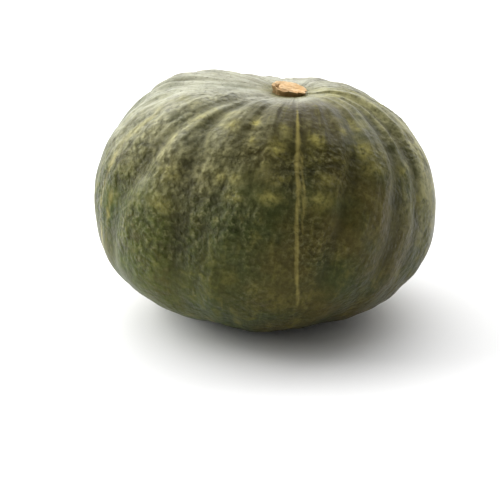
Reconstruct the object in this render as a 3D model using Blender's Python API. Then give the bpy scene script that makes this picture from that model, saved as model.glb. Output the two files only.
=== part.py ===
"""A whole dark-green winter squash (kabocha type) with a short cut stem, at real size in metres.

The fruit is a flattened globe with nine main ribs.  It stands on a small flat spot at z = 0, with its front
towards -Y and its stem up.  The stem sits in a shallow dimple, a little to the right of the middle.
"""
import math

import bpy
from mathutils import Vector

# Overall fruit
FRUIT_RADIUS = 0.0915        # half the width at the widest level
UPPER_HEIGHT = 0.0726        # widest level to the top of the globe, before the dimple is pressed in
LOWER_HEIGHT = 0.0620        # widest level to the bottom of the globe, before the flat is made
UPPER_FULLNESS = 2.14        # 2 is a plain ellipse, more is squarer in the shoulder
LOWER_FULLNESS = 2.40
FLAT_CUT = 0.0018            # thickness missing at the bottom, where the fruit rests
LEAN = 0.070                 # fall of the shoulders per metre towards +X

# Dimple and seat for the stem
STEM_OFFSET = 0.0118         # the stem stands this far to the right of the middle
STEM_REACH = 0.0330          # distance over which the shoulders are drawn over with it
DIMPLE_DEPTH = 0.0135
DIMPLE_REACH = 0.0455
PIT_DEPTH = 0.0030           # steeper hollow right round the stem
PIT_REACH = 0.0160
SEAT_RADIUS = 0.0125         # level bottom of the pit, which carries the stem

# Blossom end, in the middle of the flat
BLOSSOM_DEPTH = 0.0036
BLOSSOM_REACH = 0.0085

# Grooves between the ribs: direction in degrees from the front where the fruit is widest (positive to the
# right), depth in metres, and the degrees that the groove winds round on its way up to the stem
MAIN_GROOVES = (
    (-99, 0.0059, 6), (-31, 0.0060, 4), (5, 0.0026, 12), (44, 0.0058, 32), (90, 0.0052, 22),
    (127, 0.0085, 14), (164, 0.0040, 10), (201, 0.0050, 10), (240, 0.0031, 14),
)
MINOR_GROOVES = (
    (-58, 0.0028, 24), (-21, 0.0022, 14), (-9, 0.0015, 9), (20, 0.0028, 34), (58, 0.0034, 28),
    (66, 0.0016, 32), (77, 0.0014, 28), (108, 0.0020, 18), (146, 0.0020, 12), (183, 0.0016, 10),
    (221, 0.0020, 12),
)
GROOVE_SPREAD = 13.0         # degrees, the wide valley between two ribs
CREASE_SPREAD = 5.0          # degrees, the narrow bottom of a main groove and the minor grooves
CREASE_SHARE = 0.4           # part of a main groove's depth that the crease makes
VALLEY_SKEW = 2.0            # degrees by which the valley lies to the right of its crease
BACK_HOLLOW = (183, 0.0080, 24.0)   # a broad sag behind the stem: direction, depth, spread in degrees
STEM_SMOOTHING = 0.80        # share of their depth that the grooves lose at the stem
SMOOTH_REACH = 0.042
RIB_LIFT = 0.90              # share of a groove's inset that also lowers the rind

# Stem stub
GAP = 0.0003                 # clearance between the stem and its seat
STEM_HEIGHT = 0.0042
STEM_RADIUS_X = 0.0088
STEM_RADIUS_Y = 0.0076
STEM_SQUARENESS = 6.0        # 2 is an egg, more is closer to a plain plug with a small rounding
STEM_FLARE = 0.10            # the foot is this share wider than the cut end
STEM_RIDGES = 5
STEM_RIDGE_DEPTH = 0.035     # share of the radius
STEM_SLOPE = Vector((-0.22, 0.20))   # the cut end rises this much per metre towards +X and +Y
STEM_DISH = 0.0008           # the cut end is dished by this much
STEM_FOOT_SHARE = 0.03       # share of the height levelled off to make the foot flat

# Mesh fineness
BODY_SEGMENTS = 96
BODY_RINGS = 38
RING_CROWDING = 0.27         # draws the rings towards the dimple and the blossom end
STEM_SEGMENTS = 40
STEM_RINGS = 18
SHARP_ANGLE = math.radians(50.0)


def clear_scene():
    for item in list(bpy.data.objects):
        bpy.data.objects.remove(item, do_unlink=True)


def plain_material(name, colour, roughness):
    """A non-metallic Principled material."""
    made = bpy.data.materials.new(name)
    made.use_nodes = True
    shader = made.node_tree.nodes["Principled BSDF"]
    shader.inputs["Base Color"].default_value = (*colour, 1.0)
    shader.inputs["Roughness"].default_value = roughness
    shader.inputs["Metallic"].default_value = 0.0
    return made


def bell(distance, reach):
    """1 in the middle, falling smoothly to nothing at about twice the reach."""
    return math.exp(-(distance / reach) ** 2)


def turn_between(a, b):
    """Difference of two directions in degrees, from -180 to 180."""
    return (a - b + 180.0) % 360.0 - 180.0


def winding(rise):
    """Share of its winding that a groove has reached: 1 at the stem, 0 where the fruit is widest."""
    return (math.exp(rise) - 1.0) / (math.e - 1.0)


def groove_depth(direction, rise):
    """How far the grooves draw the rind in, in metres, at a direction in degrees."""
    depth = 0.0
    for centre, size, wind in MAIN_GROOVES:
        off = turn_between(direction, centre + wind * winding(rise))
        depth += size * (1.0 - CREASE_SHARE) * bell(off - VALLEY_SKEW, GROOVE_SPREAD)
        depth += size * CREASE_SHARE * bell(off, CREASE_SPREAD)
    for centre, size, wind in MINOR_GROOVES:
        depth += size * bell(turn_between(direction, centre + wind * winding(rise)), CREASE_SPREAD)
    centre, size, spread = BACK_HOLLOW
    return depth + size * bell(turn_between(direction, centre), spread)


def rib_strength(rise, radius):
    """Grooves are deepest on the shoulders and fade downwards and towards the stem."""
    strength = 0.78 + 0.50 * rise - 0.20 * rise * rise
    if rise < 0.0:
        return strength
    return strength * (1.0 - STEM_SMOOTHING * bell(radius, SMOOTH_REACH))


def seat_level():
    """Height of the pit's level bottom above the widest level."""
    return UPPER_HEIGHT - DIMPLE_DEPTH - PIT_DEPTH


def ground_level():
    """Height of the flat that the fruit rests on, below the widest level."""
    return FLAT_CUT - LOWER_HEIGHT


def globe_profile(rise):
    """Radius and height of the smooth globe, with dimple and blossom end but without ribs."""
    upper = rise >= 0.0
    fullness = UPPER_FULLNESS if upper else LOWER_FULLNESS
    level = math.sqrt(max(0.0, 1.0 - rise * rise))
    radius = FRUIT_RADIUS * level ** (2.0 / fullness)
    climb = abs(rise) ** (2.0 / fullness)
    if upper:
        dimple = DIMPLE_DEPTH * bell(radius, DIMPLE_REACH) + PIT_DEPTH * bell(radius, PIT_REACH)
        return radius, UPPER_HEIGHT * climb - dimple
    return radius, BLOSSOM_DEPTH * bell(radius, BLOSSOM_REACH) - LOWER_HEIGHT * climb


def fruit_point(azimuth, rise):
    """One point of the rind, with the widest level at z = 0."""
    radius, z = globe_profile(rise)
    if rise > 0.0 and radius < SEAT_RADIUS:
        z = seat_level()
        lean = 0.0
    else:
        depth = groove_depth(math.degrees(azimuth), rise) * rib_strength(rise, radius)
        inset = depth / FRUIT_RADIUS
        radius *= 1.0 - inset
        z *= 1.0 - RIB_LIFT * inset
        lean = LEAN * radius * math.sin(azimuth) * math.sqrt(max(rise, 0.0))
    shift = STEM_OFFSET * bell(radius, STEM_REACH) if rise > 0.0 else 0.0
    x = radius * math.sin(azimuth) + shift
    y = -radius * math.cos(azimuth)
    return Vector((x, y, max(z - lean, ground_level())))


def crowd_rings(rise):
    """Move the rings of a globe closer together towards both ends, where the dimple and the scar are."""
    polar = math.acos(max(-1.0, min(1.0, rise)))
    return math.cos(polar - RING_CROWDING * math.sin(2.0 * polar))


def unit_globe(name, segments, rings):
    """A globe primitive of radius 1, as a named object."""
    bpy.ops.mesh.primitive_uv_sphere_add(segments=segments, ring_count=rings, radius=1.0)
    globe = bpy.context.object
    globe.name = name
    globe.data.name = name
    return globe


def build_fruit():
    """The grown fruit: globe, ribs, dimple with its seat, flat and blossom end."""
    fruit = unit_globe("fruit_body", BODY_SEGMENTS, BODY_RINGS)
    for vertex in fruit.data.vertices:
        azimuth = math.atan2(vertex.co.x, -vertex.co.y)
        vertex.co = fruit_point(azimuth, crowd_rings(vertex.co.z))
    return fruit


def stem_point(azimuth, rise):
    """One point of the stub, with its foot at z = 0 and its axis at x = y = 0."""
    level = math.sqrt(max(0.0, 1.0 - rise * rise)) ** (2.0 / STEM_SQUARENESS)
    climb = math.copysign(abs(rise) ** (2.0 / STEM_SQUARENESS), rise)
    share = max(0.5 + 0.5 * climb, STEM_FOOT_SHARE)
    ridge = STEM_RIDGE_DEPTH * math.cos(STEM_RIDGES * azimuth)
    spread = level * (1.0 + ridge + STEM_FLARE * (1.0 - share) ** 2)
    x = STEM_RADIUS_X * spread * math.sin(azimuth)
    y = -STEM_RADIUS_Y * spread * math.cos(azimuth)
    top = STEM_HEIGHT + STEM_SLOPE.dot(Vector((x, y))) - STEM_DISH * (1.0 - level * level)
    height = top * (share - STEM_FOOT_SHARE) / (1.0 - STEM_FOOT_SHARE)
    return Vector((x, y, height))


def build_stem():
    """The cut stub, standing just clear of the bottom of the pit."""
    stem = unit_globe("stem_stub", STEM_SEGMENTS, STEM_RINGS)
    foot = Vector((STEM_OFFSET, 0.0, seat_level() + GAP))
    for vertex in stem.data.vertices:
        azimuth = math.atan2(vertex.co.x, -vertex.co.y)
        vertex.co = foot + stem_point(azimuth, vertex.co.z)
    return stem


def stand_on_ground(objects, body):
    """Move everything so that the body's box is centred over the origin and its flat is at z = 0."""
    corners = [vertex.co for vertex in body.data.vertices]
    middle_x = (min(c.x for c in corners) + max(c.x for c in corners)) / 2.0
    middle_y = (min(c.y for c in corners) + max(c.y for c in corners)) / 2.0
    for item in objects:
        for vertex in item.data.vertices:
            vertex.co -= Vector((middle_x, middle_y, ground_level()))


def finish_piece(item, look, collection, parent):
    """Shade, colour, file and parent one finished piece."""
    item.data.shade_smooth()
    item.data.set_sharp_from_angle(angle=SHARP_ANGLE)
    item.data.materials.append(look)
    for old in list(item.users_collection):
        old.objects.unlink(item)
    collection.objects.link(item)
    item.parent = parent


def main():
    clear_scene()
    pumpkin = bpy.data.collections.new("pumpkin")
    bpy.context.scene.collection.children.link(pumpkin)
    root = bpy.data.objects.new("pumpkin_root", None)
    pumpkin.objects.link(root)
    fruit = build_fruit()
    stem = build_stem()
    stand_on_ground((fruit, stem), fruit)
    finish_piece(fruit, plain_material("green_rind", (0.085, 0.095, 0.055), 0.45), pumpkin, root)
    finish_piece(stem, plain_material("corky_stem", (0.52, 0.36, 0.20), 0.85), pumpkin, root)


main()
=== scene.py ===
# Looks of a whole dark-green kabocha pumpkin: the ribbed, pebbly rind and the corky cut stem.
# Metres, +Z up, front towards -Y.  Directions round the fruit are degrees from the front, positive to the
# right.  A level, or rise, is 1 at the stem, 0 where the fruit is widest and -1 at the blossom end.
import math

import bpy
import numpy as np
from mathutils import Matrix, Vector


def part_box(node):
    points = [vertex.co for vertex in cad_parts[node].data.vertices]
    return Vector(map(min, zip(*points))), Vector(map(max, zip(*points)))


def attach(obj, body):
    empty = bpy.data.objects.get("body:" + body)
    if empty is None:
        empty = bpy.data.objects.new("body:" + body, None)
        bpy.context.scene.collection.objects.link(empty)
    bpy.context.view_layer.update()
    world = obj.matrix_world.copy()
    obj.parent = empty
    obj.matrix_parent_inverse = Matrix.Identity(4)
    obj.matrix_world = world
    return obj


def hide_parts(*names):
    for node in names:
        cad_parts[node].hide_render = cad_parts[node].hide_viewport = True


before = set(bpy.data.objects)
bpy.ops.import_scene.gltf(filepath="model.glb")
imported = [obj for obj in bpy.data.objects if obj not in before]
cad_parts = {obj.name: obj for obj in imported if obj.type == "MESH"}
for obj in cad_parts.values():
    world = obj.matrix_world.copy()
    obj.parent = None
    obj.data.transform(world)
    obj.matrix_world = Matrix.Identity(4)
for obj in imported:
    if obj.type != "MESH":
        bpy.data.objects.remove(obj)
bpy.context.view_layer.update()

MM = 0.001

# --- The fruit's driving sizes, as in the CAD model -----------------------------------------------------
FRUIT_RADIUS = 91.5 * MM     # half the width at the widest level
UPPER_HEIGHT = 72.6 * MM     # widest level to the top of the globe, before the dimple is pressed in
LOWER_HEIGHT = 62.0 * MM     # widest level to the bottom of the globe, before the flat is made
UPPER_FULLNESS = 2.14        # 2 is a plain ellipse, more is squarer in the shoulder
LOWER_FULLNESS = 2.40
FLAT_CUT = 1.8 * MM          # thickness missing at the bottom, where the fruit rests
LEAN = 0.070                 # fall of the shoulders per metre towards +X
STEM_OFFSET = 11.8 * MM      # the stem stands this far to the right of the middle
STEM_REACH = 33.0 * MM       # distance over which the shoulders are drawn over with it
DIMPLE_DEPTH = 13.5 * MM
DIMPLE_REACH = 45.5 * MM
PIT_DEPTH = 3.0 * MM         # steeper hollow right round the stem
PIT_REACH = 16.0 * MM
BLOSSOM_DEPTH = 3.6 * MM
BLOSSOM_REACH = 8.5 * MM
RIB_LIFT = 0.90              # share of a groove's inset that also lowers the rind
GROOVE_SPREAD = 13.0         # degrees, the wide valley between two ribs
CREASE_SPREAD = 5.0          # degrees, the narrow bottom of a main groove and the minor grooves
CREASE_SHARE = 0.4           # part of a main groove's depth that the crease makes
VALLEY_SKEW = 2.0            # degrees by which the valley lies to the right of its crease
# Grooves: direction where the fruit is widest, depth in millimetres, and degrees wound round up to the stem
MAIN_GROOVES = (
    (-99, 5.9, 6), (-31, 6.0, 4), (5, 2.6, 12), (44, 5.8, 32), (90, 5.2, 22),
    (127, 8.5, 14), (164, 4.0, 10), (201, 5.0, 10), (240, 3.1, 14),
)
MINOR_GROOVES = (
    (-58, 2.8, 24), (-21, 2.2, 14), (-9, 1.5, 9), (20, 2.8, 34), (58, 3.4, 28), (66, 1.6, 32),
    (77, 1.4, 28), (108, 2.0, 18), (146, 2.0, 12), (183, 1.6, 10), (221, 2.0, 12),
)
# A broad sag behind the stem: direction, depth in millimetres, spread in degrees
BACK_HOLLOW = (183, 8.0, 24.0)
STEM_SMOOTHING = 0.80        # share of their depth that the grooves lose at the stem
SMOOTH_REACH = 42.0 * MM

# --- What the looks add to that shape -------------------------------------------------------------------
SEAT_EDGE = (6.0 * MM, 20.0 * MM)    # the grooves begin to lower the rind between these radii
GROOVE_WANDER = 0.8                  # degrees, the slow sideways wander of the grooves

# --- Fineness of the visible skin -----------------------------------------------------------------------
AROUND = 476
UP_AND_DOWN = 208
ROW_CROWDING = 0.12          # draws the rows towards the stem and the blossom end


# --- Small numeric helpers ------------------------------------------------------------------------------
def bell(distance, reach):
    """1 in the middle, falling smoothly to nothing at about twice the reach."""
    return np.exp(-(distance / reach) ** 2)


def turn_between(a, b):
    """Difference of two directions in degrees, from -180 to 180."""
    return (a - b + 180.0) % 360.0 - 180.0


def toward(degrees, centre, spread):
    """1 in one direction round the fruit, falling smoothly to nothing at about twice the spread."""
    return bell(turn_between(degrees, centre), spread)


def ease(value, low, high):
    """0 below low, 1 above high, smooth between (low may be the larger)."""
    share = np.clip((value - low) / (high - low), 0.0, 1.0)
    return share * share * (3.0 - 2.0 * share)


def ripple(points, wavelength, seed, waves=28):
    """Smooth random field, mostly between -1.5 and 1.5, made of plane waves in random directions."""
    rng = np.random.default_rng(seed)
    directions = rng.normal(size=(waves, 3))
    directions /= np.linalg.norm(directions, axis=1)[:, None]
    lengths = wavelength * rng.uniform(0.75, 1.35, waves)
    phases = rng.uniform(0.0, 2.0 * math.pi, waves)
    total = np.zeros(points.shape[:-1])
    for direction, length, phase in zip(directions, lengths, phases):
        total += np.cos(points @ direction * (2.0 * math.pi / length) + phase)
    return total / math.sqrt(waves / 2.0)


def linear(red, green, blue):
    """A display (sRGB) colour, 0 to 255, as a linear one."""
    channels = [c / 255.0 for c in (red, green, blue)]
    return tuple(c / 12.92 if c <= 0.04045 else ((c + 0.055) / 1.055) ** 2.4 for c in channels) + (1.0,)


# --- Shape of the fruit ---------------------------------------------------------------------------------
def winding(rise):
    """Share of its winding that a groove has reached: 1 at the stem, 0 where the fruit is widest."""
    return (np.exp(rise) - 1.0) / (math.e - 1.0)


def wound(centre, wind, rise):
    """Direction, at a level, of a groove or line that winds round on its way up to the stem."""
    return centre + wind * winding(rise)


def groove_inset(degrees, rise):
    """Inset of the grooves, in metres, before it fades towards the bottom."""
    depth = np.zeros_like(rise)
    for centre, size, wind in MAIN_GROOVES:
        off = turn_between(degrees, wound(centre, wind, rise))
        depth += size * (1.0 - CREASE_SHARE) * bell(off - VALLEY_SKEW, GROOVE_SPREAD)
        depth += size * CREASE_SHARE * bell(off, CREASE_SPREAD)
    for centre, size, wind in MINOR_GROOVES:
        depth += size * toward(degrees, wound(centre, wind, rise), CREASE_SPREAD)
    centre, size, spread = BACK_HOLLOW
    return (depth + size * toward(degrees, centre, spread)) * MM


def rib_strength(rise, radius):
    """Grooves are deepest on the shoulders and fade downwards and towards the stem."""
    strength = 0.78 + 0.50 * rise - 0.20 * rise * rise
    return strength * (1.0 - np.where(rise >= 0.0, STEM_SMOOTHING * bell(radius, SMOOTH_REACH), 0.0))


def rib_direction(azimuth, rise):
    """Direction of the rib that a point lies on, in degrees where the fruit is widest.

    The ribs wind most to the right of the front.
    """
    degrees = np.degrees(azimuth)
    wind = 12.0 + 20.0 * toward(degrees, 60.0, 45.0)
    return degrees - wind * winding(rise)


def ground_level():
    """Height of the flat that the fruit rests on, below the widest level."""
    return FLAT_CUT - LOWER_HEIGHT


def fruit_middle():
    """Where the middle of the fruit's widest level stands, found from the CAD stem."""
    stem_low, stem_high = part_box("stem_stub")
    stem_middle = (stem_low + stem_high) / 2.0
    return stem_middle.x - STEM_OFFSET, stem_middle.y, -ground_level()


def fruit_shape(azimuth, polar):
    """Points, radius and groove inset of the rind without its fine relief, with the widest level at z = 0.

    azimuth and polar are arrays of angles: round from the front, and down from the stem.
    """
    rise = np.cos(polar)
    breadth = np.sin(polar)
    upper = rise >= 0.0
    fullness = np.where(upper, UPPER_FULLNESS, LOWER_FULLNESS)
    radius = FRUIT_RADIUS * breadth ** (2.0 / fullness)
    climb = np.abs(rise) ** (2.0 / fullness)
    dimple = DIMPLE_DEPTH * bell(radius, DIMPLE_REACH) + PIT_DEPTH * bell(radius, PIT_REACH)
    blossom = BLOSSOM_DEPTH * bell(radius, BLOSSOM_REACH)
    z = np.where(upper, UPPER_HEIGHT * climb - dimple, blossom - LOWER_HEIGHT * climb)
    wandering = np.degrees(azimuth) + wander(azimuth, polar)
    inset = groove_inset(wandering, rise) * rib_strength(rise, radius) / FRUIT_RADIUS
    radius = radius * (1.0 - inset)
    z = z * (1.0 - RIB_LIFT * inset * ease(radius, *SEAT_EDGE))
    lean = LEAN * radius * np.sin(azimuth) * np.sqrt(np.clip(rise, 0.0, 1.0))
    shift = np.where(upper, STEM_OFFSET * bell(radius, STEM_REACH), 0.0)
    x = radius * np.sin(azimuth) + shift
    y = -radius * np.cos(azimuth)
    return np.stack([x, y, z - lean], axis=-1), radius, inset * FRUIT_RADIUS


def streak_space(azimuth, polar, fineness, stretch):
    """Coordinates in which even noise becomes streaks that run from the stem to the blossom end."""
    return np.stack([fineness * np.sin(azimuth), fineness * np.cos(azimuth), stretch * polar], axis=-1)


def wander(azimuth, polar):
    """Slow sideways wander of the grooves, in degrees."""
    return GROOVE_WANDER * ripple(streak_space(azimuth, polar, 1.6, 0.9), 1.0, seed=5)


def grid_normals(points):
    """Outward normals of points laid out as rows from the stem down by columns round the fruit."""
    round_step = np.roll(points, -1, axis=1) - np.roll(points, 1, axis=1)
    down_step = np.gradient(points, axis=0)
    normals = np.cross(round_step, down_step)
    normals /= np.linalg.norm(normals, axis=-1, keepdims=True) + 1e-12
    outward = np.sign((normals * points).sum(axis=-1).mean())
    return normals * outward


def polar_rows():
    """Polar angles of the rows of points, closer together towards the stem and the blossom end."""
    even = np.linspace(0.0, math.pi, UP_AND_DOWN + 1)[1:-1]
    return even - ROW_CROWDING * np.sin(2.0 * even)


# --- Fine relief of the rind ----------------------------------------------------------------------------
# Raised lines: direction where the fruit is widest, degrees wound, height in millimetres, width in degrees,
# and the levels between which the line fades out downwards
RAISED_LINES = (
    (12, 36, 0.7, 3.0, 0.35, 0.65), (38, 31, 0.9, 2.8, 0.10, 0.50), (52, 28, 0.8, 2.6, 0.10, 0.50),
    (61, 30, 0.7, 2.2, 0.10, 0.50), (-5, 10, 0.5, 2.4, 0.45, 0.75), (-25, 8, 0.6, 2.8, 0.20, 0.60),
    (-66, 20, 0.4, 2.0, -0.20, 0.20), (70, 26, 0.6, 2.2, 0.10, 0.50), (84, 22, 0.6, 2.4, 0.20, 0.60),
)
# Swellings and hollows of the rim behind the stem: direction, height in millimetres, half-width in degrees
BACK_RIM = ((163, -1.9, 9.0), (-163, -1.3, 15.0), (140, 1.0, 7.0))
VEIN_DIRECTION = 10.1        # the pale vein on the front: degrees, on its straight lower stretch
VEIN_BEND_LEVEL = 0.36       # level above which it bends over to the stem
VEIN_BEND = 29.0             # and the degrees by which it bends, per square of the level above that
VEIN_HEIGHT = 0.45           # millimetres
VEIN_WIDTH = 1.1             # degrees
# Weights of the relief, in millimetres
FOLD_RELIEF = 0.50
CREASE_RELIEF = 0.15
SWELL_RELIEF = 0.42
LUMP_RELIEF = 0.16
PEBBLE_RELIEF = 0.17


def front_vein(rise):
    """Direction of the pale vein on the front: straight up to the shoulder, then over to the stem."""
    return VEIN_DIRECTION + VEIN_BEND * np.maximum(rise - VEIN_BEND_LEVEL, 0.0) ** 2


def raised_lines(degrees, rise):
    """Height of the raised lines, in millimetres."""
    height = VEIN_HEIGHT * toward(degrees, front_vein(rise), VEIN_WIDTH) * ease(rise, 0.97, 0.85)
    for centre, wind, size, width, low, high in RAISED_LINES:
        line = toward(degrees, wound(centre, wind, rise), width)
        height += size * line * ease(rise, low, high)
    return height


def back_rim(degrees, rise, radius):
    """Height of the swellings and hollows of the rim behind the stem, in millimetres."""
    height = sum(size * toward(degrees, centre, width) for centre, size, width in BACK_RIM)
    return height * ease(rise, 0.55, 0.80) * ease(radius, 14.0 * MM, 34.0 * MM)


def pebbling(degrees, rise, points):
    """How pebbly the rind is: most on the left of the front, less in its middle, least elsewhere."""
    share = 0.30 + 0.75 * toward(degrees, -38.0, 40.0) * ease(rise, -0.45, 0.35)
    share += 0.22 * toward(degrees, 5.0, 30.0) * ease(rise, -0.30, 0.30)
    share *= 1.0 - 0.65 * ease(rise, 0.55, 0.85)
    share *= 0.80 + 0.30 * ripple(points, 28.0 * MM, seed=25)
    return np.clip(share, 0.10, 1.1)


def relief(points, azimuth, polar, radius, pebbled):
    """Fine relief along the normal, in metres: folds and creases, swellings, lumps, pebbles and lines."""
    rise = np.cos(polar)
    degrees = np.degrees(azimuth)
    along_ribs = np.radians(rib_direction(azimuth, rise))
    folds = 0.8 - np.abs(ripple(streak_space(along_ribs, polar, 5.6, 0.75), 1.0, seed=11))
    creases = 0.8 - np.abs(ripple(streak_space(along_ribs, polar, 11.0, 1.1), 1.0, seed=12))
    fold_reach = ease(rise, 0.10, 0.70) * (0.15 + 0.85 * ease(radius, 12.0 * MM, 55.0 * MM))
    swell = ripple(points, 36.0 * MM, seed=21)
    lumps = ripple(points * np.array([1.0, 1.0, 0.7]), 14.0 * MM, seed=22)
    pebbles = np.abs(ripple(points, 6.6 * MM, seed=23, waves=40)) - 0.6
    smooth_end = ease(radius, 12.0 * MM, 30.0 * MM)
    height = fold_reach * (FOLD_RELIEF * folds + CREASE_RELIEF * creases)
    height += smooth_end * (SWELL_RELIEF * swell + LUMP_RELIEF * lumps + PEBBLE_RELIEF * pebbled * pebbles)
    height += ease(radius, 15.0 * MM, 50.0 * MM) * raised_lines(degrees, rise)
    height += back_rim(degrees, rise, radius)
    return height * MM


def mesh_of_rows(name, points, top, bottom):
    """A closed skin over rows of points, with one point at each end."""
    rows, around = points.shape[:2]
    flat = np.concatenate([points.reshape(-1, 3), [top], [bottom]])
    index = np.arange(rows * around).reshape(rows, around)
    beside = np.roll(index, -1, axis=1)
    quads = np.stack([index[:-1], index[1:], beside[1:], beside[:-1]], axis=-1).reshape(-1, 4)
    top_index = rows * around
    faces = quads.tolist()
    faces += [(top_index, a, b) for a, b in zip(index[0].tolist(), beside[0].tolist())]
    faces += [(top_index + 1, b, a) for a, b in zip(index[-1].tolist(), beside[-1].tolist())]
    mesh = bpy.data.meshes.new(name)
    mesh.from_pydata(flat.tolist(), [], faces)
    mesh.validate()
    mesh.shade_smooth()
    made = bpy.data.objects.new(name, mesh)
    bpy.context.scene.collection.objects.link(made)
    return made


def add_mask(made, name, values, end_values=(0.0, 0.0)):
    """Store one number per point for the material to read."""
    mask = made.data.attributes.new(name, "FLOAT", "POINT")
    full = np.concatenate([values.ravel(), end_values]).astype(np.float32)
    mask.data.foreach_set("value", full)


def add_coordinates(made, name, values):
    """Store three numbers per point for the material to read; the two ends take the nearest row's middle."""
    mask = made.data.attributes.new(name, "FLOAT_VECTOR", "POINT")
    ends = [values[0].mean(axis=0), values[-1].mean(axis=0)]
    full = np.concatenate([values.reshape(-1, 3), ends]).astype(np.float32)
    mask.data.foreach_set("vector", full.ravel())


FULL_GROOVE_SHADE = 6.5 * MM       # inset at which the painted shade in a groove is darkest
SEAT_SHADE_REACH = 16.0 * MM       # reach of the painted shade, in olive, round the stem in its hollow
SCAR_PATCH = 7.0 * MM        # reach of the corky scar at the blossom end


def build_fruit():
    """The rind: a closed skin with the colours' masks on its points."""
    rows = polar_rows()
    turns = np.linspace(-math.pi, math.pi, AROUND, endpoint=False)
    polar, azimuth = np.meshgrid(rows, turns, indexing="ij")
    rise = np.cos(polar)
    degrees = np.degrees(azimuth)
    points, radius, inset = fruit_shape(azimuth, polar)
    pebbled = pebbling(degrees, rise, points)
    points = points + grid_normals(points) * relief(points, azimuth, polar, radius, pebbled)[..., None]
    points[..., 2] = np.maximum(points[..., 2], ground_level())
    offset = np.array(fruit_middle())
    top = np.array([STEM_OFFSET, 0.0, points[0, :, 2].mean()])
    bottom = np.array([0.0, 0.0, points[-1, :, 2].mean()])
    made = mesh_of_rows("pumpkin_rind", points + offset, top + offset, bottom + offset)

    # painted shade: the grooves are darkened by their depth and along their bottoms
    groove = np.clip(inset / FULL_GROOVE_SHADE, 0.0, 1.0) * ease(radius, 15.0 * MM, 60.0 * MM)
    add_mask(made, "groove", groove)
    add_mask(made, "pebbled", pebbled)
    add_mask(made, "rise", rise, (1.0, -1.0))
    add_mask(made, "leafy", leafiness(degrees, rise))
    add_mask(made, "crease", groove_shade_lines(degrees + wander(azimuth, polar), rise, radius))
    # masks of pale dusting with painted side light, of where the painted top light shows, and of painted
    # shade on the front shoulder and round the stem
    add_mask(made, "dust_and_lit_sides", dust_and_side_light(degrees, rise))
    add_mask(made, "wax_and_top_light", wax_and_top_light_share(degrees, radius))
    add_mask(made, "dull_and_shaded", dull_and_shaded_front(degrees, rise))
    add_mask(made, "seat_shade", np.where(rise > 0.0, bell(radius, SEAT_SHADE_REACH), 0.0), (1.0, 0.0))
    add_mask(made, "scar", np.where(rise < 0.0, bell(radius, SCAR_PATCH), 0.0), (0.0, 1.0))
    add_mask(made, "stripe", rind_stripes(degrees, azimuth, polar))
    add_mask(made, "blotch", rind_blotches(degrees, rise))
    along_ribs = np.radians(rib_direction(azimuth, rise))
    add_coordinates(made, "streaks", streak_space(along_ribs, polar, 1.0, 0.16))
    return made


def dust_and_side_light(degrees, rise):
    """Where a pale dusting lies on the rind, with painted light laid on it: the lit left of the front, and a
    bright rim on the far right.
    """
    left = toward(degrees, -34.0, 27.0) * ease(rise, 0.10, 0.60) * ease(rise, 0.97, 0.85)
    right = 1.55 * toward(degrees, 87.0, 28.0) * ease(rise, -0.45, 0.30)
    return left + right


def wax_and_top_light_share(degrees, radius):
    """Where the wax has stayed on and the painted top light shows most, 0 to 1: close round the stem, least
    on the front, less at the back.
    """
    front = toward(degrees, 33.0, 72.0)
    back = 0.35 * toward(degrees, 190.0, 60.0)
    return 1.0 - (front + back) * ease(radius, 13.0 * MM, 33.0 * MM)


def leafiness(degrees, rise):
    """Where the rind is greener, 0 to 1: on the left, and further round to the front low down."""
    front = 0.85 * toward(degrees, -50.0, 34.0) * ease(rise, 0.75, 0.10)
    return np.maximum(0.75 * toward(degrees, -82.0, 26.0), front)


def dull_and_shaded_front(degrees, rise):
    """Where the shoulder of the front has lost its wax and shines least, and where painted shade darkens it,
    0 to 1.
    """
    return toward(degrees, 4.0, 42.0) * ease(rise, 0.30, 0.65) * ease(rise, 0.97, 0.91)


def groove_shade_lines(degrees, rise, radius):
    """Where painted shade darkens the bottoms of the grooves, 0 to 1.  The first main groove has none."""
    dark = np.zeros_like(rise)
    for centre, size, wind in MAIN_GROOVES[1:]:
        off = turn_between(degrees, wound(centre, wind, rise))
        dark += min(size / 5.0, 1.0) * bell(off - 0.3, 4.4)
    for centre, size, wind in MINOR_GROOVES:
        off = turn_between(degrees, wound(centre, wind, rise))
        dark += size / 3.6 * bell(off, 3.2)
    return np.clip(dark, 0.0, 1.0) * ease(rise, -0.55, -0.05) * ease(radius, 18.0 * MM, 50.0 * MM)


def front_stripes(turn, rise):
    """The two strands over the vein on the front."""
    off = turn_between(turn, front_vein(rise))
    strand = 0.68 * bell(off, 0.75 + 0.75 * bell(rise - 0.66, 0.20)) * ease(rise, -0.75, -0.15)
    second = 0.55 * bell(off - 1.9, 0.7) * ease(rise, 0.02, 0.20) * ease(rise, 0.72, 0.60)
    return np.maximum(strand, second) * ease(rise, 0.985, 0.86)


def left_stripes(turn, rise, broken):
    """The broad line on the left, with a short one on each side of it."""
    off = turn_between(turn, -69.0 + 10.0 * rise)
    share = (0.45 + 0.30 * broken) * bell(off, 1.5 + 1.3 * bell(rise - 0.60, 0.22))
    share = np.maximum(share, 0.40 * bell(off - 5.0, 1.2) * ease(rise, 0.45, 0.15))
    share = np.maximum(share, 0.45 * bell(off + 8.0, 1.6) * ease(rise, 0.60, 0.20))
    fade = (0.3 + 0.7 * ease(rise, 0.90, 0.70)) * ease(rise, 0.97, 0.93) * ease(rise, -0.85, -0.30)
    return share * fade


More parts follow.
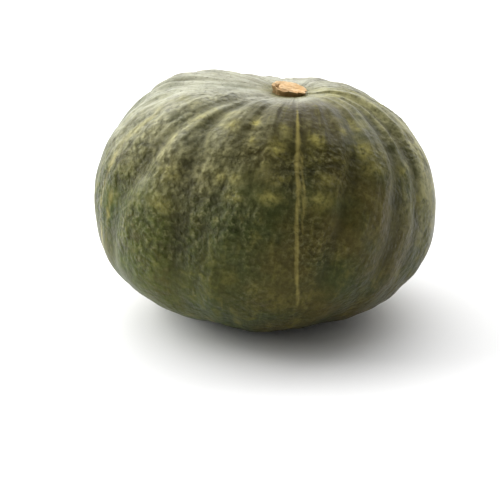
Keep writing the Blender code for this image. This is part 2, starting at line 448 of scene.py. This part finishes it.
def far_stripes(turn, rise, broken):
    """Thin broken lines beside the main grooves on the right and at the back."""
    share = np.zeros_like(rise)
    for centre, _, wind in MAIN_GROOVES[4:]:
        off = turn_between(turn, wound(centre, wind, rise) + 16.0)
        share = np.maximum(share, bell(off, 0.9 + 0.8 * broken))
        share = np.maximum(share, 0.7 * bell(off - 6.0, 1.1) * (1.0 - broken))
    return share * ((0.30 + 0.28 * broken) * ease(rise, 0.93, 0.80))


def low_stripes(turn, rise, broken):
    """Broken streaks in the grooves low on the fruit."""
    share = np.zeros_like(rise)
    for centre, _, wind in MAIN_GROOVES + MINOR_GROOVES:
        share = np.maximum(share, toward(turn, wound(centre, wind, rise), 2.4) * broken)
    return share * (0.6 * ease(rise, -0.35, -0.80) * ease(rise, -0.995, -0.96))


def rind_stripes(degrees, azimuth, polar):
    """Where the pale lines run, 0 to 1; they wobble, and least so on the front."""
    rise = np.cos(polar)
    broken = ripple(streak_space(azimuth, polar, 3.0, 3.4), 1.0, seed=31)
    broken = np.clip(0.5 + 0.5 * broken, 0.0, 1.0)
    wobble = ripple(streak_space(azimuth, polar, 1.0, 2.0), 1.0, seed=33)
    turn = degrees + 0.35 * ripple(streak_space(azimuth, polar, 1.0, 3.2), 1.0, seed=32)
    turn = turn + 0.8 * wobble * (1.0 - bell(degrees, 40.0))
    kinds = [front_stripes(turn, rise), left_stripes(turn, rise, broken)]
    kinds += [far_stripes(turn, rise, broken), low_stripes(turn, rise, broken)]
    return np.clip(np.maximum.reduce(kinds), 0.0, 1.0)


# Olive-yellow blotches: direction in degrees, level, half-width in degrees, half-height in level, strength
BLOTCHES = (
    (-7, 0.83, 2.6, 0.035, 1.00), (-7, 0.72, 2.2, 0.030, 0.60), (-15, 0.48, 5.0, 0.045, 0.65),
    (-11, 0.36, 3.0, 0.040, 0.65), (22, 0.72, 3.0, 0.040, 0.85), (42, 0.62, 3.2, 0.060, 0.85),
    (40, 0.76, 3.0, 0.030, 0.70), (48, 0.78, 3.0, 0.040, 0.65), (4, 0.67, 3.2, 0.050, 0.85),
    (1, 0.37, 3.6, 0.040, 0.80), (4, 0.48, 3.4, 0.028, 0.70), (18, 0.35, 4.4, 0.055, 0.65),
    (42, 0.50, 4.0, 0.045, 0.60), (58, 0.42, 3.0, 0.050, 0.60), (22, 0.47, 3.6, 0.035, 0.60),
    (63, 0.19, 3.0, 0.060, 0.60), (-35, 0.44, 4.6, 0.050, 0.60), (-38, 0.81, 3.6, 0.035, 0.45),
    (-18, 0.79, 3.4, 0.035, 0.55), (8, 0.79, 2.6, 0.030, 0.50), (-36, 0.23, 5.0, 0.050, 0.50),
)


def rind_blotches(degrees, rise):
    """How strongly the blotches show, 0 to 1."""
    total = np.zeros_like(rise)
    for centre, height, half_width, half_height, strength in BLOTCHES:
        spot = toward(degrees, centre, half_width) * bell(rise - height, half_height)
        total = np.maximum(total, strength * spot)
    return total


# --- Materials ------------------------------------------------------------------------------------------
class Nodes:
    """A small builder of node trees."""

    def __init__(self, name):
        self.material = bpy.data.materials.new(name)
        self.material.use_nodes = True
        self.tree = self.material.node_tree
        self.shader = self.tree.nodes["Principled BSDF"]

    def feed(self, socket, value):
        """Link another node's output to a socket, or set the socket to a plain value."""
        if isinstance(value, bpy.types.NodeSocket):
            self.tree.links.new(value, socket)
        else:
            socket.default_value = value

    def mask(self, name, output="Fac"):
        """What add_mask or add_coordinates stored under this name."""
        node = self.tree.nodes.new("ShaderNodeAttribute")
        node.attribute_name = name
        return node.outputs[output]

    def place(self):
        return self.tree.nodes.new("ShaderNodeTexCoord").outputs["Object"]

    def noise(self, vector, scale, detail=3.0, roughness=0.55, distortion=0.0):
        node = self.tree.nodes.new("ShaderNodeTexNoise")
        self.feed(node.inputs["Vector"], vector)
        node.inputs["Scale"].default_value = scale
        node.inputs["Detail"].default_value = detail
        node.inputs["Roughness"].default_value = roughness
        node.inputs["Distortion"].default_value = distortion
        return node.outputs["Fac"]

    def cells(self, vector, scale):
        """Distance from the middles of rounded, irregular cells."""
        node = self.tree.nodes.new("ShaderNodeTexVoronoi")
        node.feature = "SMOOTH_F1"
        self.feed(node.inputs["Vector"], vector)
        node.inputs["Scale"].default_value = scale
        return node.outputs["Distance"]

    def ranged(self, value, low, high, to_low=0.0, to_high=1.0):
        """A value from low to high turned smoothly into one from to_low to to_high."""
        node = self.tree.nodes.new("ShaderNodeMapRange")
        node.interpolation_type = "SMOOTHSTEP"
        self.feed(node.inputs["Value"], value)
        node.inputs["From Min"].default_value = low
        node.inputs["From Max"].default_value = high
        node.inputs["To Min"].default_value = to_low
        node.inputs["To Max"].default_value = to_high
        return node.outputs["Result"]

    def math(self, operation, a, b=0.0, clamp=False):
        node = self.tree.nodes.new("ShaderNodeMath")
        node.operation = operation
        node.use_clamp = clamp
        self.feed(node.inputs[0], a)
        self.feed(node.inputs[1], b)
        return node.outputs["Value"]

    def mix(self, share, a, b):
        """Colour a with a share of colour b laid over it."""
        node = self.tree.nodes.new("ShaderNodeMix")
        node.data_type = "RGBA"
        self.feed(node.inputs["Factor"], share)
        colours = [i for i in node.inputs if i.type == "RGBA"]
        self.feed(colours[0], a)
        self.feed(colours[1], b)
        return [o for o in node.outputs if o.type == "RGBA"][0]

    def length(self, vector):
        node = self.tree.nodes.new("ShaderNodeVectorMath")
        node.operation = "LENGTH"
        self.tree.links.new(vector, node.inputs[0])
        return node.outputs["Value"]

    def up(self):
        """How far the surface faces upwards, -1 to 1."""
        geometry = self.tree.nodes.new("ShaderNodeNewGeometry")
        split = self.tree.nodes.new("ShaderNodeSeparateXYZ")
        self.tree.links.new(geometry.outputs["Normal"], split.inputs["Vector"])
        return split.outputs["Z"]

    def bump(self, height, strength, distance):
        node = self.tree.nodes.new("ShaderNodeBump")
        self.feed(node.inputs["Height"], height)
        self.feed(node.inputs["Strength"], strength)
        node.inputs["Distance"].default_value = distance
        return node.outputs["Normal"]


DARK_GREEN = linear(50, 57, 26)
DARK_OLIVE = linear(70, 62, 26)
# a browner dark for painted shade on the front of the shoulder
SHOULDER_SHADE_BROWN = linear(56, 49, 22)
# the dark of painted shade in grooves, creases, pits and gaps
CREVICE_SHADE = linear(31, 31, 13)
LEAF_GREEN = linear(66, 84, 34)
OLIVE = linear(112, 107, 54)
BLOTCH_YELLOW = linear(158, 150, 82)
# grey of the wax film and of the painted top light and sheen laid on with it
BLOOM_AND_SHEEN_GREY = linear(187, 187, 167)
STRIPE_CREAM = linear(188, 190, 150)
STRIPE_OLIVE = linear(150, 138, 78)
SPECKLE = linear(166, 162, 116)
WAX_TINT = linear(226, 220, 176)
SCAR_BROWN = linear(150, 118, 72)
SKIN_BUMP = 1.5 * MM


def rind_material():
    """Dark green to olive rind with its wax film, pale dusting, blotches, dots and pale lines, laid over each
    other, with painted light on the top and sides and painted shade in its grooves, creases and pits and on
    the front shoulder.
    """
    n = Nodes("kabocha_rind")
    place = n.place()
    streaks = n.mask("streaks", "Vector")
    groove = n.mask("groove")
    pebbled = n.mask("pebbled")
    rise = n.mask("rise")
    leafy = n.mask("leafy")
    crease = n.mask("crease")

    patches = n.noise(place, 28.0, 4.0, 0.6)
    mottle = n.noise(place, 115.0, 5.0, 0.65, 0.4)
    specks = n.noise(place, 470.0, 3.0, 0.6)
    lines = n.noise(streaks, 26.0, 4.0, 0.6)
    cells = n.cells(place, 310.0)

    # dark green to olive mottling, leafier on the left, with painted shade on the front shoulder and in the
    # grooves
    colour = n.mix(n.ranged(patches, 0.36, 0.66), DARK_GREEN, DARK_OLIVE)
    # painted shade on the front of the shoulder, which faces away from the light
    colour = n.mix(n.ranged(n.mask("dull_and_shaded"), 0.0, 1.0, 0.0, 0.75), colour, SHOULDER_SHADE_BROWN)
    leaf_share = n.math("MULTIPLY", leafy, n.ranged(mottle, 0.36, 0.62, 0.3, 0.85))
    colour = n.mix(leaf_share, colour, LEAF_GREEN)
    colour = n.mix(n.ranged(mottle, 0.50, 0.74, 0.0, 0.55), colour, OLIVE)
    colour = n.mix(n.ranged(lines, 0.52, 0.75, 0.0, 0.35), colour, OLIVE)
    colour = n.mix(n.ranged(groove, 0.30, 0.95, 0.0, 0.40), colour, CREVICE_SHADE)

    # grey wax film lightened as painted top light where it faces up, painted shade round the stem, pale
    # dusting with painted side light
    wax_and_sheen_line = n.math("ADD", n.math("MULTIPLY", n.mask("wax_and_top_light"), 0.75), n.math("MULTIPLY", mottle, 0.5))
    facing_up = n.ranged(n.math("ADD", n.up(), wax_and_sheen_line), 1.13, 1.92)
    cloudy = n.ranged(n.noise(place, 70.0, 5.0, 0.7), 0.30, 0.70, 0.35, 0.85)
    bloom_and_sheen = n.math("MULTIPLY", facing_up, cloudy)
    # painted shade: less of the painted top light in the creases
    bloom_and_sheen = n.math("MULTIPLY", bloom_and_sheen, n.ranged(crease, 0.1, 0.9, 1.0, 0.5), True)
    colour = n.mix(bloom_and_sheen, colour, BLOOM_AND_SHEEN_GREY)
    # painted shade in olive round the stem, in its hollow
    colour = n.mix(n.ranged(n.mask("seat_shade"), 0.15, 0.85, 0.0, 0.8), colour, OLIVE)
    # pale dusting, partly painted light on the left of the front and a bright rim on the far right
    dust_and_side_light_share = n.math("MULTIPLY", n.mask("dust_and_lit_sides"), n.ranged(mottle, 0.34, 0.66, 0.15, 0.70))
    colour = n.mix(dust_and_side_light_share, colour, SPECKLE)

    # olive-yellow blotches
    ragged = n.ranged(n.noise(place, 230.0, 4.0, 0.65), 0.32, 0.60, 0.1, 0.95)
    colour = n.mix(n.math("MULTIPLY", n.mask("blotch"), ragged), colour, BLOTCH_YELLOW)

    # fine pale dots, mostly where the rind is pebbly, and painted shade: dark specks in the pits of the
    # grain, the gaps between the cobbles and the creases
    dots = n.math("MULTIPLY", n.ranged(specks, 0.46, 0.76), n.ranged(pebbled, 0.1, 1.0, 0.08, 0.36))
    colour = n.mix(dots, colour, SPECKLE)
    colour = n.mix(n.ranged(specks, 0.48, 0.28, 0.0, 0.45), colour, CREVICE_SHADE)
    gap_shade_share = n.math("MULTIPLY", n.ranged(cells, 0.36, 0.66, 0.0, 0.5), pebbled)
    colour = n.mix(gap_shade_share, colour, CREVICE_SHADE)
    colour = n.mix(n.ranged(crease, 0.15, 0.95, 0.0, 0.46), colour, CREVICE_SHADE)

    # pale lines over the veins, with a frayed edge
    stripe_edge = n.math("ADD", n.mask("stripe"), n.math("MULTIPLY", n.math("SUBTRACT", mottle, 0.5), 0.9))
    stripe_colour = n.mix(n.math("MULTIPLY", leafy, n.ranged(rise, 0.1, 0.6)), STRIPE_OLIVE, STRIPE_CREAM)
    colour = n.mix(n.ranged(stripe_edge, 0.15, 0.85, 0.0, 0.8), colour, stripe_colour)

    # corky blossom scar underneath
    scar_share = n.math("MULTIPLY", n.mask("scar"), n.ranged(specks, 0.35, 0.55, 0.5, 1.0))
    colour = n.mix(scar_share, colour, SCAR_BROWN)
    n.feed(n.shader.inputs["Base Color"], colour)

    # a wax shine, duller on the front of the shoulder
    n.feed(n.shader.inputs["Roughness"], n.ranged(mottle, 0.3, 0.7, 0.36, 0.52))
    n.feed(n.shader.inputs["Specular IOR Level"], n.ranged(n.mask("dull_and_shaded"), 0.0, 1.0, 0.22, 0.03))
    n.shader.inputs["Specular Tint"].default_value = WAX_TINT

    # fine grain, the cobbles of the pebbly skin, and streaks along the ribs
    bumps = n.math("MULTIPLY", specks, n.ranged(pebbled, 0.1, 1.0, 0.18, 1.2))
    cobbles = n.math("MULTIPLY", cells, n.math("MULTIPLY", pebbled, -1.7))
    wrinkles = n.math("MULTIPLY", lines, 0.35)
    height = n.math("ADD", n.math("ADD", bumps, cobbles), wrinkles)
    n.feed(n.shader.inputs["Normal"], n.bump(height, 1.0, SKIN_BUMP))
    return n.material


CORK_PALE = linear(228, 196, 150)
CORK_TAN = linear(214, 170, 112)
CORK_BROWN = linear(180, 130, 80)
CORK_SHADE = linear(114, 88, 42)
CORK_BUMP = 0.4 * MM


def stem_material():
    """Pale cork, browner in its grain and dark in its slot and low on its side."""
    n = Nodes("corky_stem")
    place = n.place()
    broad = n.noise(place, 150.0, 4.0, 0.6)
    fine = n.noise(place, 900.0, 4.0, 0.65)
    colour = n.mix(n.ranged(broad, 0.35, 0.7), CORK_PALE, CORK_TAN)
    colour = n.mix(n.ranged(fine, 0.58, 0.8, 0.0, 0.4), colour, CORK_BROWN)
    colour = n.mix(n.mask("shade"), colour, CORK_SHADE)
    n.feed(n.shader.inputs["Base Color"], colour)
    n.feed(n.shader.inputs["Roughness"], n.ranged(fine, 0.3, 0.7, 0.7, 0.95))
    n.feed(n.shader.inputs["Normal"], n.bump(fine, 0.7, CORK_BUMP))
    return n.material


FLOOR_WHITE = linear(250, 250, 250)
FLOOR_GREY = linear(247, 247, 247)
FLOOR_NEAR = 1.0             # the floor's glow starts this far from the fruit
FLOOR_FAR = 2.6              # and is full this far from it
FLOOR_GLOW = 0.6


def floor_material():
    """A pale floor that glows a little far from the fruit, so that it stays even out to its edge."""
    n = Nodes("pale_floor")
    place = n.place()
    grain = n.noise(place, 9.0, 3.0)
    n.feed(n.shader.inputs["Base Color"], n.mix(grain, FLOOR_WHITE, FLOOR_GREY))
    n.shader.inputs["Roughness"].default_value = 0.6
    n.shader.inputs["Specular IOR Level"].default_value = 0.2
    n.shader.inputs["Emission Color"].default_value = (1.0, 1.0, 1.0, 1.0)
    glow = n.ranged(n.length(place), FLOOR_NEAR, FLOOR_FAR, 0.0, FLOOR_GLOW)
    n.feed(n.shader.inputs["Emission Strength"], glow)
    return n.material


# --- Stem -----------------------------------------------------------------------------------------------
STEM_AROUND = 168
STEM_SIDE_ROWS = 22
STEM_TOP_ROWS = 40
STEM_MIDDLE_HEIGHT = 0.71    # height of the middle of the cut, as a share of the box's height
STEM_FALL_RIGHT = 0.27       # the cut falls by this share from its middle to its right edge
STEM_RISE_BACK = 0.12        # and rises by this share to its back edge
CUT_SPREAD = 0.95            # width of the cut face, as a share of the box's width
FOOT_SPREAD = 0.93
WAIST = 0.10                 # share by which the side draws in halfway up
SLOT_DEPTH = 0.42            # share of the box's height
SLOT_WIDTH = 0.075
RIM_DROP = 0.07              # share of the height by which the rim is rounded off
CUT_DISH = 0.08
FOOT_SINK = 0.4 * MM         # the foot reaches this far below the CAD stem's and closes the gap


def stem_rows():
    """Rows of x, y and height share, each from 0 to 1: up the wrinkled side, then in over the cut face."""
    angle = np.linspace(-math.pi, math.pi, STEM_AROUND, endpoint=False)
    ring = np.stack([np.sin(angle), -np.cos(angle)], axis=-1)
    still = np.zeros(STEM_AROUND)
    chips = 1.0 + 0.040 * ripple(np.column_stack([ring, still]), 0.55, seed=51)
    rows = []
    for share in np.linspace(0.0, 1.0, STEM_SIDE_ROWS, endpoint=False):
        wrinkle = 0.022 * ripple(np.column_stack([ring * 2.2, still + share * 0.8]), 0.5, seed=52)
        spread = FOOT_SPREAD - WAIST * math.sin(math.pi * share) + wrinkle
        spread = spread * (1.0 - share) + CUT_SPREAD * chips * share
        rows.append(np.column_stack([ring * spread[:, None], still + share]))
    for outward in np.linspace(1.0, 0.0, STEM_TOP_ROWS, endpoint=False):
        spread = CUT_SPREAD * outward * (chips * outward + 1.0 - outward)
        rows.append(np.column_stack([ring * spread[:, None], still + 1.0]))
    return np.array(rows)


def build_stem():
    """The cut stub: wrinkled side, chipped rim, and a sloping cut with a lip and a slot at its front left."""
    low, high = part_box("stem_stub")
    middle = (low + high) / 2.0
    half = (high - low) / 2.0
    rows = stem_rows()
    x, y, share = rows[..., 0], rows[..., 1], rows[..., 2]
    out = np.hypot(x, y)
    turn = np.degrees(np.arctan2(x, -y))
    window = ease(turn, -125.0, -85.0) * ease(turn, 30.0, -5.0)
    slot_at = 0.66 + 0.07 * np.cos(np.radians(turn + 50.0) * 2.0)
    slot = window * bell(out - slot_at, SLOT_WIDTH)
    flat = np.stack([x, y, np.zeros_like(x)], axis=-1)
    grain = ripple(flat * np.array([1.0, 2.6, 1.0]), 0.5, seed=53)
    fine = ripple(flat, 0.16, seed=54)
    top = STEM_MIDDLE_HEIGHT - STEM_FALL_RIGHT * x + STEM_RISE_BACK * y + 0.022 * grain + 0.008 * fine
    top -= CUT_DISH * (1.0 - out ** 2) + SLOT_DEPTH * slot + RIM_DROP * ease(out, 0.84, 0.97)
    foot = low.z - FOOT_SINK
    z = foot + top * share * (high.z - foot)
    points = np.stack([middle.x + x * half.x, middle.y + y * half.y, z], axis=-1)[::-1]
    lip_shade = 0.30 * window * ease(out, 0.50, 0.85)
    shade = np.clip(np.where(share < 1.0, 1.0 - 0.25 * share, lip_shade) + 0.9 * slot, 0.0, 1.0)[::-1]
    made = mesh_of_rows("cut_stem", points, points[0].mean(axis=0), points[-1].mean(axis=0))
    add_mask(made, "shade", shade, (0.0, 1.0))
    return made


# --- Studio ---------------------------------------------------------------------------------------------
FLOOR_HALF_SIDE = 4.0
BRIGHTEST_SIDE = (-0.30, 0.88, 0.38)
DIM_BELOW = -0.35            # the surroundings are dimmest where the cosine to that side is below this
BRIGHT_ABOVE = 0.75          # and brightest where it is above this
DIM_STRENGTH = 0.26
BRIGHT_STRENGTH = 1.30
# Soft lights: name, place, width and height, and power; they point at one place
SOFT_LIGHTS = (
    ("overhead_back", (0.05, 1.05, 1.15), (2.8, 1.8), 26.0),
    ("left_key", (-1.25, 0.25, 0.75), (1.1, 1.1), 21.0),
)
LIT_PLACE = (0.0, 0.0, 0.06)


def build_floor():
    """A wide level square that isn't part of the fruit."""
    mesh = bpy.data.meshes.new("floor")
    side = FLOOR_HALF_SIDE
    corners = [(-side, -side, 0), (side, -side, 0), (side, side, 0), (-side, side, 0)]
    mesh.from_pydata(corners, [], [(0, 1, 2, 3)])
    floor = bpy.data.objects.new("floor", mesh)
    bpy.context.scene.collection.objects.link(floor)
    mesh.materials.append(floor_material())


def soft_light(name, place, target, size, power):
    """A white rectangular area light that points at the target."""
    lamp = bpy.data.lights.new(name, "AREA")
    lamp.shape = "RECTANGLE"
    lamp.size, lamp.size_y = size
    lamp.energy = power
    holder = bpy.data.objects.new(name, lamp)
    bpy.context.scene.collection.objects.link(holder)
    holder.location = place
    holder.rotation_euler = (Vector(target) - Vector(place)).to_track_quat("-Z", "Y").to_euler()


def build_world():
    """White surroundings, brightest behind, above and to the left of the fruit, dim on the camera's side."""
    world = bpy.data.worlds.new("studio")
    world.use_nodes = True
    tree = world.node_tree
    background = tree.nodes["Background"]
    background.inputs["Color"].default_value = (1.0, 1.0, 1.0, 1.0)
    direction = tree.nodes.new("ShaderNodeTexCoord")
    towards = tree.nodes.new("ShaderNodeVectorMath")
    towards.operation = "DOT_PRODUCT"
    towards.inputs[1].default_value = BRIGHTEST_SIDE
    tree.links.new(direction.outputs["Generated"], towards.inputs[0])
    brightness = tree.nodes.new("ShaderNodeMapRange")
    brightness.interpolation_type = "SMOOTHSTEP"
    brightness.inputs["From Min"].default_value = DIM_BELOW
    brightness.inputs["From Max"].default_value = BRIGHT_ABOVE
    brightness.inputs["To Min"].default_value = DIM_STRENGTH
    brightness.inputs["To Max"].default_value = BRIGHT_STRENGTH
    tree.links.new(towards.outputs["Value"], brightness.inputs["Value"])
    tree.links.new(brightness.outputs["Result"], background.inputs["Strength"])
    bpy.context.scene.world = world


def build_lights():
    for name, place, size, power in SOFT_LIGHTS:
        soft_light(name, place, LIT_PLACE, size, power)


CAMERA_ELEVATION = math.radians(18.5)
CAMERA_DISTANCE = 1.0
LENS = 136.0                 # millimetres
SENSOR_WIDTH = 36.0
FRAME_LEFT = 8.6 * MM        # the picture's middle lies this far left of the fruit's
FRAME_DOWN = 28.0 * MM       # and this far below it


def build_camera():
    """The camera at the photograph's angle, with the fruit above and to the right of the middle."""
    data = bpy.data.cameras.new("camera")
    data.lens = LENS
    data.sensor_width = SENSOR_WIDTH
    data.dof.use_dof = False
    data.clip_start = 0.05
    data.clip_end = 20.0
    camera = bpy.data.objects.new("camera", data)
    bpy.context.scene.collection.objects.link(camera)
    centre = Vector(fruit_middle())
    away = Vector((0.0, -math.cos(CAMERA_ELEVATION), math.sin(CAMERA_ELEVATION)))
    up = Vector((0.0, math.sin(CAMERA_ELEVATION), math.cos(CAMERA_ELEVATION)))
    camera.location = centre + away * CAMERA_DISTANCE
    target = centre - Vector((FRAME_LEFT, 0.0, 0.0)) - up * FRAME_DOWN
    camera.rotation_euler = (target - camera.location).to_track_quat("-Z", "Y").to_euler()
    bpy.context.scene.camera = camera


# --- Assembly -------------------------------------------------------------------------------------------
fruit = build_fruit()
fruit.data.materials.append(rind_material())
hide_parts("fruit_body")
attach(fruit, "root")

stem = build_stem()
stem.data.materials.append(stem_material())
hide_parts("stem_stub")
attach(stem, "root")

build_floor()
build_world()
build_lights()
build_camera()
bpy.context.scene.view_settings.view_transform = "Standard"
